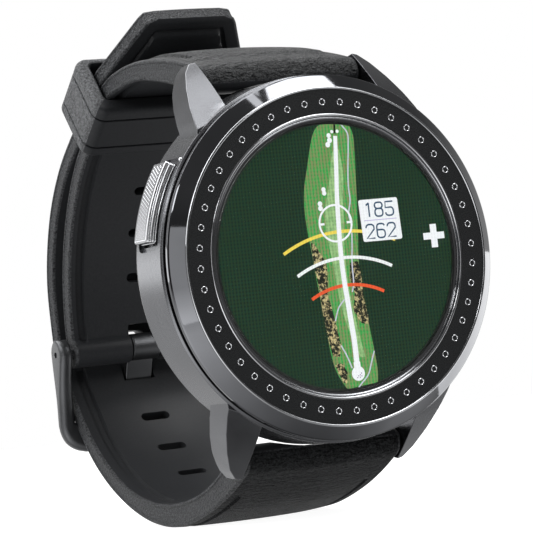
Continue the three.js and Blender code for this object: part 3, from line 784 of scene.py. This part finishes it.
def band(name, points, half_width, crown, relief_in, relief_out, face):
    """A strap half as a skin over cross-sections: crowned outside, beaded edges, flat inside.
    relief_in and relief_out give the height to add at (x, station), and face is the look of the outside."""
    _, out = outward(points)
    rings = []
    for i, (y, z, thick) in enumerate(points):
        w = half_width[i]
        half = FACE_LINES * (w - SIDE[0][1]) / FACE_LINES[-1]
        xs = np.r_[-half[:0:-1], half]
        rise = thick / 2 + crown[i] * (1 - (xs / w) ** 2) + np.array([relief_out(x, i) for x in xs])
        sink = -thick / 2 + np.array([relief_in(x, i) for x in xs])
        squeeze = min(1.0, thick / 1.3)
        edge = [(w - inset * squeeze, thick / 2 - drop * squeeze) for drop, inset in SIDE[1:]]
        edge += [(x, -v) for x, v in edge[::-1]]
        section = [*zip(xs, rise), *edge, *zip(xs[::-1], sink[::-1]), *[(-x, v) for x, v in edge[::-1]]]
        rings.append([(x, y + v * out[i, 0], z + v * out[i, 1]) for x, v in section])
    count = len(SIDE[1:]) * 2
    cells = 2 * len(FACE_LINES) - 1
    kinds = [1] * (cells - 1) + [2] * (count + 1) + [0] * (cells - 1) + [2] * (count + 1)
    indices = kinds * (len(rings) - 1) + [2, 2]
    return body_of_points(name, loft(rings), (SMOOTH_RUBBER, face, GRAIN_RUBBER), indices)


def keeper_point(along, out):
    return (KEEPER_POINT[0] + along * sin(KEEPER_TURN) + out * cos(KEEPER_TURN),
            KEEPER_POINT[1] + along * cos(KEEPER_TURN) - out * sin(KEEPER_TURN))


def loop_point(angle):
    return (LOOP_CENTRE[0] + LOOP_R * cos(radians(angle)), LOOP_CENTRE[1] + LOOP_R * sin(radians(angle)))


def upper_stations():
    lug = [(*BAR, 3.7), (24.6, -14.6, 3.4), (25.7, -19.0, 3.1), (26.6, -24.0, 2.8), (27.1, -29.0, 2.5),
           (26.8, -34.0, 2.5)]
    held = [(*keeper_point(5.2, 0), 2.4), (*keeper_point(0, 0), 2.4), (*keeper_point(-5.2, 0), STRAP_T)]
    loop = [(*loop_point(a), STRAP_T) for a in (-44, -50, -56, -62, -68, -74, -80, -87)]
    return [*lug, *held, *loop, (*PIN, STRAP_T)]


def lower_stations():
    lug = [(-BAR[0], BAR[1], 3.7), (-25.5, -14.8, 3.5), (-27.4, -19.0, 3.1), (-28.9, -23.6, 2.9),
           (-29.8, -28.0, 3.0), (-30.2, -33.0, 3.0), (-29.9, -37.5, 2.8), (-29.0, -41.8, 2.6),
           (-27.5, -46.0, 2.4), (-25.3, -50.2, 2.4), (-22.6, -53.9, 2.4)]
    back = [(-19.6, -56.9), (-16.2, -59.5), (-12.6, -61.9), (-8.0, -63.4), (-3.0, -63.75), (2.2, -63.5),
            (7.4, -61.9), (12.3, -59.2), (16.8, -55.2), (20.0, -51.0)]
    held = [keeper_point(a, 2.75) for a in (-4.4, 0, 4.6)]
    tail = keeper_point(5.4, 2.8)
    free = [(tail[0] + r * sin(radians(43)), tail[1] + r * cos(radians(43))) for r in (3.0, 9.95)]
    return [*lug, *[(*p, STRAP_T) for p in [*back, *held, *free]]]


def thicken(points, centre, radius):
    """Thickens the stations near a point into a round of that radius."""
    reach = np.linalg.norm(points[:, :2] - centre, axis=1)
    bulge = 2 * np.sqrt(np.clip(radius ** 2 - reach ** 2, 0, None))
    points[:, 2] = np.maximum(points[:, 2], bulge)


def nosed(stations, radius):
    """Stations carried on round a half-round nose at the strap's lug end."""
    points, _ = smooth_path(stations, 0.42)
    start = points[0, :2]
    back = start - points[2, :2]
    back /= np.linalg.norm(back)
    nose = []
    for t in np.radians(np.linspace(4, 90, 12)):
        nose.append([*(start + back * radius * cos(t)), 2 * radius * sin(t)])
    thicken(points, start, radius)
    for _ in range(2):
        points[1:-1, 2] = (points[:-2, 2] + 2 * points[1:-1, 2] + points[2:, 2]) / 4
    points[0, 2] = 2 * radius
    return np.vstack([nose[:-1], points])


def nosed_pin_end(points, radius):
    """The strap's far end swelling into the tube round the buckle pin."""
    thicken(points, PIN, radius)
    points[-1, 2] = 2 * radius
    ahead = np.array(PIN) - points[-4, :2]
    ahead /= np.linalg.norm(ahead)
    turns = np.radians(np.linspace(8, 86, 12))
    return np.vstack([points, [[*(PIN + ahead * radius * sin(t)), 2 * radius * cos(t)] for t in turns]])


def distances(points):
    """How far each station is from the first."""
    return np.r_[0, np.cumsum(np.hypot(*np.diff(points[:, :2], axis=0).T))]


def clear_case(strap):
    """The strap is cut away where the round case stands."""
    room = [(0, -14), (CASE_R + 0.1, -14), (CASE_R + 0.1, 0), (0, 0)]
    carve(strap, lathe(room, 160))


def nearest(points, y, z):
    return int(np.argmin(np.hypot(points[:, 0] - y, points[:, 1] - z)))


def stadium(x, i, marks, centre, first, last, half=0.6, depth=0.5, soft=0.1):
    """The depth of a long round-ended groove at (x, station)."""
    beyond = max(marks[first] - marks[i], 0, marks[i] - marks[last])
    off = hypot(abs(x) - centre, beyond)
    return -depth * float(np.clip((half - off) / soft + 0.5, 0, 1))


def slot_tool(y, z, out, width=4.1, height=1.15, half_depth=1.5):
    """A round-ended slot through the strap, flared where it meets both faces."""
    run = np.array([out[1], -out[0]])
    rings = []
    flare = ((-3.5, 0.9), (-half_depth, 0.5), (-0.9, 0.0), (0.9, 0.0), (half_depth, 0.5), (3.5, 0.9))
    for depth, grow in flare:
        w, h = width / 2 + grow * 0.35, height / 2 + grow * 0.35
        outline = arc((w - h, 0), h, -90, 90, 10) + arc((h - w, 0), h, 90, 270, 10)
        rings.append([
            (x, y + v * run[0] + depth * out[0], z + v * run[1] + depth * out[1]) for x, v in outline
        ])
    return loft(rings)


def make_upper_strap():
    points = nosed_pin_end(nosed(upper_stations(), LUG_ROUND_R), PIN_TUBE_R)
    marks = distances(points)
    first = nearest(points, 26.2, -21)
    last = nearest(points, -5.6, -58.9)
    lug_side, under = nearest(points, 25.3, -16.5), nearest(points, 27.0, -31)
    crown = np.interp(marks, [0, 2, 12, marks[-1] - 14, marks[-1] - 6], [0, 0.35, 0.5, 0.3, 0])

    def inner(x, i):
        return -stadium(x, i, marks, 9.2, first, last)

    def outer(x, i):
        pad = np.interp(marks[i], [5.0, 6.2, 16.0, 21.0], [0, 0.32, 0.4, 0])
        pad *= float(np.clip((9.6 - abs(x)) / 0.8, 0, 1))
        return pad + stadium(x, i, marks, 9.1, lug_side, under, 0.34, 0.36)

    # The upper strap's outside takes the lighter copy of the leathery rubber: painted light.
    strap = band("strap_upper", points, np.full(len(points), STRAP_HALF), crown, inner, outer, LIT_UPPER_LEATHERY)
    clear_case(strap)
    for angle in (-52, -64, -76):
        y, z = loop_point(angle)
        carve(strap, slot_tool(y, z, np.array([cos(radians(angle)), sin(radians(angle))])))
    notch = rounded([(-2.35, -11.0), (2.35, -11.0), (2.35, -4.6), (-2.35, -4.6)], 0.5)
    carve(strap, facing(notch, -63, -55))
    settle(strap, "watch", "strap", stands_for=("upper_strap",), sharp=40)


def make_lower_strap():
    points = nosed(lower_stations(), LUG_ROUND_R)
    marks = distances(points)
    from_tip = marks[-1] - marks
    half_width = np.interp(from_tip, [0, 0.4, 1.1, 10.0, 11.0], [5.5, 6.35, 6.85, 10.75, STRAP_HALF])
    ends = from_tip < 0.35
    ease = 0.3 - np.sqrt(np.clip(0.3 ** 2 - (0.3 - np.minimum(from_tip, 0.3)) ** 2, 0, None))
    half_width = half_width - ease
    points[:, 2] -= 2 * ease * ends
    crown = np.interp(marks, [0, 2, 10, 70, 85, marks[-1] - 12, marks[-1] - 4],
                      [0, 0.35, 0.55, 0.5, 0.3, 0.2, 0.1])
    low, high = nearest(points, -29.5, -38), nearest(points, -11.0, -62.6)
    lug_side, under = nearest(points, -26.6, -17.0), nearest(points, -30.1, -33)

    def inner(x, i):
        tip = from_tip[i]
        panel = 0.0
        if tip < 16:
            edge = min((half_width[i] - abs(x)) * 0.9, tip)
            panel = 0.3 * float(np.clip((0.26 - abs(edge - 2.2)) / 0.08 + 0.5, 0, 1))
            panel -= 0.1 * float(np.clip((edge - 2.5) / 0.1, 0, 1))
        return panel - stadium(x, i, marks, 8.5, low, high, 0.7)

    def outer(x, i):
        return stadium(x, i, marks, 9.1, lug_side, under, 0.34, 0.36)

    # The lower strap's outside takes the darker copy of the leathery rubber: painted shade.
    strap = band("strap_lower", points, half_width, crown, inner, outer, SHADED_LOWER_LEATHERY)
    clear_case(strap)
    for y, z in ((-18.35, -58.0), (-22.85, -53.6), (-26.55, -47.9), (-6.1, -63.6)):
        carve(strap, slot_tool(y, z, outward(points)[1][nearest(points, y, z)]))
    tang = smooth_path(prong_stations(), 0.8)[0]
    carve(strap, ribbon(tang, 2.35, 1.75))
    settle(strap, "watch", "strap", stands_for=("lower_strap",), sharp=40)


def ribbon(path, half, thick):
    """A band of even thickness along a path of (y, z)."""
    _, out = outward(path)
    upper = path[:, :2] + out * thick / 2
    lower = (path[:, :2] - out * thick / 2)[::-1]
    return sideways([tuple(p) for p in np.vstack([upper, lower])], -half, half)


# ---- keeper
def box_path(half, low, high, radius, straight=10, corner=8):
    """A rounded rectangle of (x, out) with the same point count whatever its size."""
    centres = [(half - radius, high - radius, 0), (-half + radius, high - radius, 90),
               (-half + radius, low + radius, 180), (half - radius, low + radius, 270)]
    path = []
    for k, (cx, cy, first) in enumerate(centres):
        path += arc((cx, cy), radius, first, first + 90, corner)
        nx, ny, start = centres[(k + 1) % 4]
        here = path[-1]
        there = arc((nx, ny), radius, start, start, 1)[0]
        path += [(here[0] + (there[0] - here[0]) * t, here[1] + (there[1] - here[1]) * t)
                 for t in np.linspace(0, 1, straight + 2)[1:-1]]
    return np.array(path)


def make_keeper():
    outer = box_path(13.1, -3.7, 6.4, 1.7)
    inner = box_path(11.25, -1.45, 5.3, 0.7)
    low, high = -3.2, 5.4
    skin = [(low, 0.7), (low + 0.06, 0.4), (low + 0.25, 0.12), (low + 0.55, 0.0)]
    for middle in (-1.5, 3.5):
        skin += [(middle - 0.2, 0.0), (middle - 0.13, 0.06), (middle - 0.1, 0.32), (middle + 0.1, 0.32),
                 (middle + 0.13, 0.06), (middle + 0.2, 0.0)]
    skin += [(high - 0.8, -0.02), (high - 0.5, 0.04), (high - 0.2, 0.2), (high - 0.05, 0.45), (high, 0.75)]
    lining = [(high, 0.3), (high - 0.08, 0.1), (high - 0.3, 0.0), (low + 0.3, 0.0), (low + 0.08, 0.1),
              (low, 0.3)]
    rings = []
    for o, i in zip(outer, inner):
        across = o - i
        across /= np.linalg.norm(across)
        ring = [(o - across * depth, along) for along, depth in skin]
        ring += [(i + across * depth, along) for along, depth in lining]
        rings.append([(p[0], *keeper_point(along, p[1])) for p, along in ring])
    front = {k for k, p in enumerate(outer) if p[1] < -3.6 or (p[1] < -2.6 and abs(p[0]) < 12.9)}
    around = len(skin) + len(lining)
    indices = [int(j >= len(skin) or k in front) for k in range(len(rings)) for j in range(around)]
    # The keeper's outside takes the lighter copy of the grain rubber: painted light.
    loop = body_of_points("keeper_loop", loft(rings, closed=True), (LIT_KEEPER_RUBBER, SMOOTH_RUBBER), indices)
    settle(loop, "keeper", "keeper", stands_for=("keeper",), sharp=34)


# ---- buckle
def prong_stations():
    return [(-8.9, -60.3), (-12.6, -61.8), (-16.4, -62.65), (-19.4, -62.65), (-21.4, -62.25)]


def bow_stations():
    """The bow's centre line in plan, with the z of its faces and its half width."""
    along = [-5.78, -5.85, -6.0, -6.3, -6.8, -7.4, -8.1, -9.0, -10.0, -11.2, -12.6, -14.0, -15.4, -16.6,
             -17.4]
    front_y, front_z = (-17.4, -14.3, -12.0, -10.2, -9.0), (-59.15, -58.75, -58.2, -57.6, -57.15)
    back_z = (-61.15, -60.9, -60.85, -60.9, -60.92)
    arm = []
    for y in along:
        if y > -9.0:
            reach = 2.04 ** 2 - (y - PIN[0]) ** 2
            half = max(reach, 0.01) ** 0.5
            arm.append((-12.25, y, PIN[1] + half, PIN[1] - half, 0.9))
        else:
            swell = np.interp(y, (-16.0, -11.0), (0.2, 0))
            front, back = np.interp(y, front_y, front_z), np.interp(y, front_y, back_z)
            arm.append((-12.25 + swell, y, front, back, 0.9 + swell))
    corner = []
    for t in np.radians(np.linspace(10, 90, 9)):
        share = t / (pi / 2)
        swell = 0.2 * (1 - share) + 0.5 * sin(2 * t)
        x, y = -9.4 - (2.85 - swell) * cos(t), -17.4 - (2.85 - swell) * sin(t)
        corner.append((x, y, -59.15 + 0.05 * share, -61.15 - 0.3 * share, 0.9 + 0.3 * share + swell))
    half = arm + corner + [(x, -20.25, -59.1, -61.45, 1.2) for x in (-7.5, -5.0, -2.5)]
    return np.array(half + [(0, -20.25, -59.1, -61.45, 1.2)] + [(-x, *rest) for x, *rest in half[::-1]])


def rounded_section(half_wide, half_deep, corner=0.85, steps=7):
    """A rounded box of (across, z) with the same point count whatever its size."""
    radius = corner * min(half_wide, half_deep)
    section = []
    for cx, cy, first in ((1, 1, 0), (-1, 1, 90), (-1, -1, 180), (1, -1, 270)):
        centre = (cx * (half_wide - radius), cy * (half_deep - radius))
        section += arc(centre, radius, first, first + 90, steps)
    return section


def make_buckle():
    bow = bow_stations()
    rings = []
    for (x, y, front, back, half), (dx, dy) in zip(bow, headings(bow[:, :2])):
        middle = (front + back) / 2
        rings.append([(x - dy * u, y + dx * u, middle + v)
                      for u, v in rounded_section(half, (front - back) / 2)])
    buckle = body_of_points("buckle_bow", loft(rings))
    for radius, reach, steps in ((0.86, 12.95, 40), (0.42, 14, 28)):
        carve(buckle, pin_lathe([(0, -reach), (radius, -reach), (radius, reach), (0, reach)], steps))
    settle(buckle, "buckle_frame", "buckle", BUCKLE_METAL, stands_for=("buckle_frame",), sharp=50, even=False)
    tongue = ribbon(smooth_path(prong_stations(), 0.5)[0], 2.0, 1.05)
    solid("prong_tongue", tongue, "buckle_prong", "buckle", BUCKLE_METAL, bevel=0.22)
    eye_half = 2.05
    eye = rounded([(0.9, -eye_half), (1.85, -eye_half), (1.85, eye_half), (0.9, eye_half)], 0.3, 6)
    solid("prong_eye", pin_lathe(eye, 64), "buckle_prong", "buckle", BUCKLE_METAL, ("buckle_prong",))
    shaft = [(0, -12.9), (0.7, -12.9), (0.8, -12.8), (0.8, 12.8), (0.7, 12.9), (0, 12.9)]
    solid("buckle_pin_turned", pin_lathe(shaft, 40), "watch", "steel", STEEL, ("buckle_pin",))


# ---- back and inside
def make_back():
    profile = rounded([(0, -12.4), (12.6, -12.4), (12.75, -12.28), (13.0, -12.28), (13.15, -12.4),
                       (17.9, -12.4), (19.0, -12.0), (19.65, -11.4), (19.65, -10.75), (0, -10.75)], 0.1)
    cover = body_of_points("back_plate", lathe(profile, 192))
    for angle in (45, 135, 225, 315):
        spot = (16.4 * cos(radians(angle)), 16.4 * sin(radians(angle)))
        carve(cover, lathe([(0, -13), (1.3, -13), (1.2, -11.65), (0, -11.65)], 32, spot))
    for x in (-4.5, -1.5, 1.5, 4.5):
        carve(cover, lathe([(0, -13), (1.0, -13), (1.0, -10), (0, -10)], 32, (x, -9)))
    settle(cover, "watch", "back", BACK_METAL, stands_for=("back_cover",))


CAD_LOOKS = {"bezel_gasket": SEAL_RUBBER, "back_gasket": SEAL_RUBBER, "button_seal": SEAL_RUBBER,
             "display_frame": INNER_BLACK, "main_board": BOARD, "gps_antenna": CERAMIC, "battery": FOIL,
             "vibration_motor": STEEL, "flex_cable": COPPER_FILM, "button_clip": STEEL,
             "button_switch": STEEL, "spring_bar_upper": STEEL, "spring_bar_lower": STEEL,
             **{f"back_screw_{i}": STEEL for i in range(1, 5)},
             **{f"charge_contact_{i}": GOLD for i in range(1, 5)}}


def finish_cad_nodes():
    """The small metal and inner parts keep their CAD shape: a procedural material, and eased shading."""
    for name, look in CAD_LOOKS.items():
        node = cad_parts[name]
        node.data.materials.clear()
        node.data.materials.append(look.material)
        node.data.shade_smooth()
        weld = node.modifiers.new("weld", "WELD")
        weld.merge_threshold = 1e-6
        split = node.modifiers.new("split", "EDGE_SPLIT")
        split.split_angle = radians(32)


# ---- stage
def make_stage():
    """A pale disc under the watch. It stays out of the watch's light, shadows and reflections."""
    lowest, radius, middle = -31.8 * MM, 0.36, (0.0, 0.2)
    rim = [(middle[0] + x, middle[1] + y, lowest) for x, y in arc((0, 0), radius, 0, 354, 59)]
    mesh = bpy.data.meshes.new("floor")
    mesh.from_pydata(rim, [], [tuple(range(len(rim)))])
    floor = bpy.data.objects.new("floor", mesh)
    scene.collection.objects.link(floor)
    look = Look("floor_pale", Base_Color=(0.3, 0.3, 0.3, 1), Roughness=0.9, Specular_IOR_Level=0.1,
                Emission_Color=(1, 1, 1, 1), Emission_Strength=0.95)
    mesh.materials.append(look.material)
    floor.visible_glossy = False
    floor.visible_diffuse = False
    floor.visible_shadow = False


def make_world():
    """White where the camera looks. As a light it is bright behind and below the watch, dark in front."""
    world = bpy.data.worlds.new("studio")
    scene.world = world
    world.use_nodes = True
    graph = Graph(world.node_tree)
    x, y, z = graph.axes(graph.add("ShaderNodeTexCoord").outputs["Generated"])

    def product(a, b):
        return graph.math("MULTIPLY", a, b)

    behind = product(graph.between(y, -0.15, 0.75, 0.08, 1.0), graph.between(z, 0.1, 0.45, 1.0, 0.4))
    aside = graph.math("SUBTRACT", x, 0.1)
    sides = product(product(aside, aside), graph.between(y, 0.0, 0.25, 2.5, 0.1))
    low_glow = graph.math("ADD", sides, graph.between(y, -0.35, -0.1, 0.5, 0.1))
    below = product(graph.between(z, -0.08, -0.42, 0.0, 1.0), low_glow)
    above = graph.between(z, 0.2, 0.6, 0.08, 0.2)
    brightest = graph.math("MAXIMUM", graph.math("MAXIMUM", behind, below), above)
    to_camera = graph.add("ShaderNodeLightPath").outputs["Is Camera Ray"]
    pick = graph.add("ShaderNodeMix", {"data_type": "FLOAT"}, Factor=to_camera)
    graph.feed(pick.inputs[2], brightest)
    graph.feed(pick.inputs[3], 1.0)
    background = graph.tree.nodes["Background"]
    graph.feed(background.inputs["Color"], (1, 1, 1, 1))
    graph.feed(background.inputs["Strength"], pick.outputs[0])


def soft_light(name, direction, distance, width, height, radiance):
    """A softbox seen from the watch in that direction, as bright as a surface of that radiance."""
    data = bpy.data.lights.new(name, "AREA")
    data.shape = "RECTANGLE"
    data.size, data.size_y = width, height
    data.energy = radiance * pi * width * height
    lamp = bpy.data.objects.new(name, data)
    way = Vector(direction).normalized()
    lamp.location = way * distance
    lamp.rotation_mode = "QUATERNION"
    lamp.rotation_quaternion = way.to_track_quat("Z", "Y")
    scene.collection.objects.link(lamp)


def make_lights():
    soft_light("top_box", (0.345, -0.2, 0.92), 0.5, 0.25, 0.17, 9.0)
    soft_light("top_strip", (0.06, -0.31, 0.95), 0.5, 0.03, 0.17, 4.0)
    soft_light("zenith_box", (0.06, -0.03, 1), 0.6, 0.2, 0.16, 3.4)
    soft_light("overhead", (-0.1, 0.5, 0.85), 0.6, 0.6, 0.4, 4.6)
    soft_light("left_box", (-0.77, 0.25, 0.58), 0.21, 0.17, 0.17, 3.0)
    soft_light("button_glint", (-0.74, -0.34, 0.54), 0.6, 0.12, 0.12, 8.0)
    soft_light("front_fill", (0.42, -0.66, 0.62), 0.6, 0.36, 0.36, 4.0)
    soft_light("left_front_panel", (-0.775, -0.632, 0.0), 0.6, 0.2, 0.44, 1.45)
    soft_light("back_left_box", (-0.43, 0.9, 0.07), 0.7, 0.24, 0.12, 2.2)
    soft_light("right_panel", (0.93, 0.25, -0.27), 0.6, 0.24, 0.34, 2.4)


def make_camera():
    camera = bpy.data.cameras.new("camera")
    camera.sensor_width = 36.0
    camera.lens = 192.74
    camera.clip_start, camera.clip_end = 0.01, 20
    holder = bpy.data.objects.new("camera", camera)
    right, up, back = (0.8814, -0.4589, -0.1117), (0.0849, -0.0787, 0.9933), (-0.4646, -0.885, -0.0304)
    turn = Matrix((right, up, back)).transposed()
    holder.rotation_mode = "QUATERNION"
    holder.rotation_quaternion = turn.to_quaternion()
    holder.location = (-0.16843, -0.31404, -0.0108)
    scene.collection.objects.link(holder)
    scene.camera = holder
    scene.view_settings.view_transform = "Standard"


make_case()
make_bezel()
make_pips()
make_rim()
make_screen()
make_button()
make_lugs()
make_upper_strap()
make_lower_strap()
make_keeper()
make_buckle()
make_back()
finish_cad_nodes()
make_stage()
make_world()
make_lights()
make_camera()
